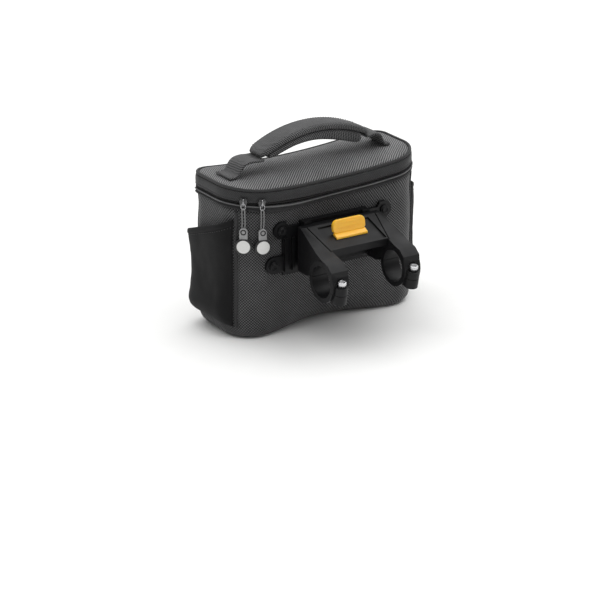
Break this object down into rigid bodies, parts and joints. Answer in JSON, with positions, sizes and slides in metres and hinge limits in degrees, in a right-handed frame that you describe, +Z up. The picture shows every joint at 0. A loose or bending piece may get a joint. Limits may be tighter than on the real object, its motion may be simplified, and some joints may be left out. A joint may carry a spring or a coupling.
{
  "type": "bicycle handlebar bag",
  "caption": "Small zipped handlebar bag with a crowned lid, padded carry handle, side pockets and a quick-release adapter that clamps on a round bar.",
  "frame": {"origin": "on the flat base of the bag, midway along its length and depth", "axes": "+X to the rider's right along the handlebar, +Y forward away from the rider, +Z up"},
  "size_m": [0.2378, 0.1745, 0.1948],
  "materials": {
    "woven_nylon": "coarse woven nylon, matt",
    "smooth_nylon": "fine woven nylon, matt",
    "stretch_fabric": "smooth stretch fabric, matt",
    "webbing": "woven nylon webbing",
    "zip_nylon": "black zip coil and tape",
    "black_plastic": "moulded black nylon plastic, satin",
    "cord": "grey braided cord",
    "grip_rubber": "moulded grey-black rubber",
    "reflector": "pale grey reflective film",
    "lever_yellow": "moulded yellow plastic, satin",
    "bolt_steel": "zinc plated steel"
  },
  "bodies": {
    "bracket": {"bracket_housing": "black_plastic", "clamp_cap_left": "black_plastic", "clamp_cap_right": "black_plastic", "clamp_bolt_left": "bolt_steel", "clamp_bolt_right": "bolt_steel"},
    "bag": {"bag_body": "woven_nylon", "base_board": "black_plastic", "lid_panel": "woven_nylon", "lid_piping": "smooth_nylon", "lid_skirt": "smooth_nylon", "lid_hinge": "smooth_nylon", "zip_coil": "zip_nylon", "zip_tape": "zip_nylon", "corner_seam_rear_left": "smooth_nylon", "corner_seam_rear_right": "smooth_nylon", "corner_seam_front_left": "smooth_nylon", "corner_seam_front_right": "smooth_nylon", "pocket_left": "stretch_fabric", "pocket_right": "stretch_fabric", "handle_strap": "webbing", "handle_pad": "webbing", "handle_tab_left": "webbing", "handle_tab_right": "webbing", "zip_slider_left": "zip_nylon", "zip_slider_right": "zip_nylon", "pull_cord_left": "cord", "pull_cord_right": "cord", "pull_grip_left": "grip_rubber", "pull_grip_right": "grip_rubber", "pull_disc_left": "reflector", "pull_disc_right": "reflector", "back_plate": "black_plastic", "plate_rivet_1": "black_plastic", "plate_rivet_2": "black_plastic", "plate_rivet_3": "black_plastic", "plate_rivet_4": "black_plastic"},
    "lever": {"release_lever": "lever_yellow"}
  },
  "joints": [
    {"name": "bag_lift", "type": "slide", "parent": "bracket", "child": "bag", "axis": [0, 0, 1], "range_m": [0, 0.04]},
    {"name": "lever_press", "type": "hinge", "parent": "bracket", "child": "lever", "pos_m": [0, -0.0732, 0.10234], "axis": [-1, 0, 0], "range_deg": [0, 12], "stiffness_Nm_per_rad": 0.15, "springref_deg": -5.73}
  ]
}
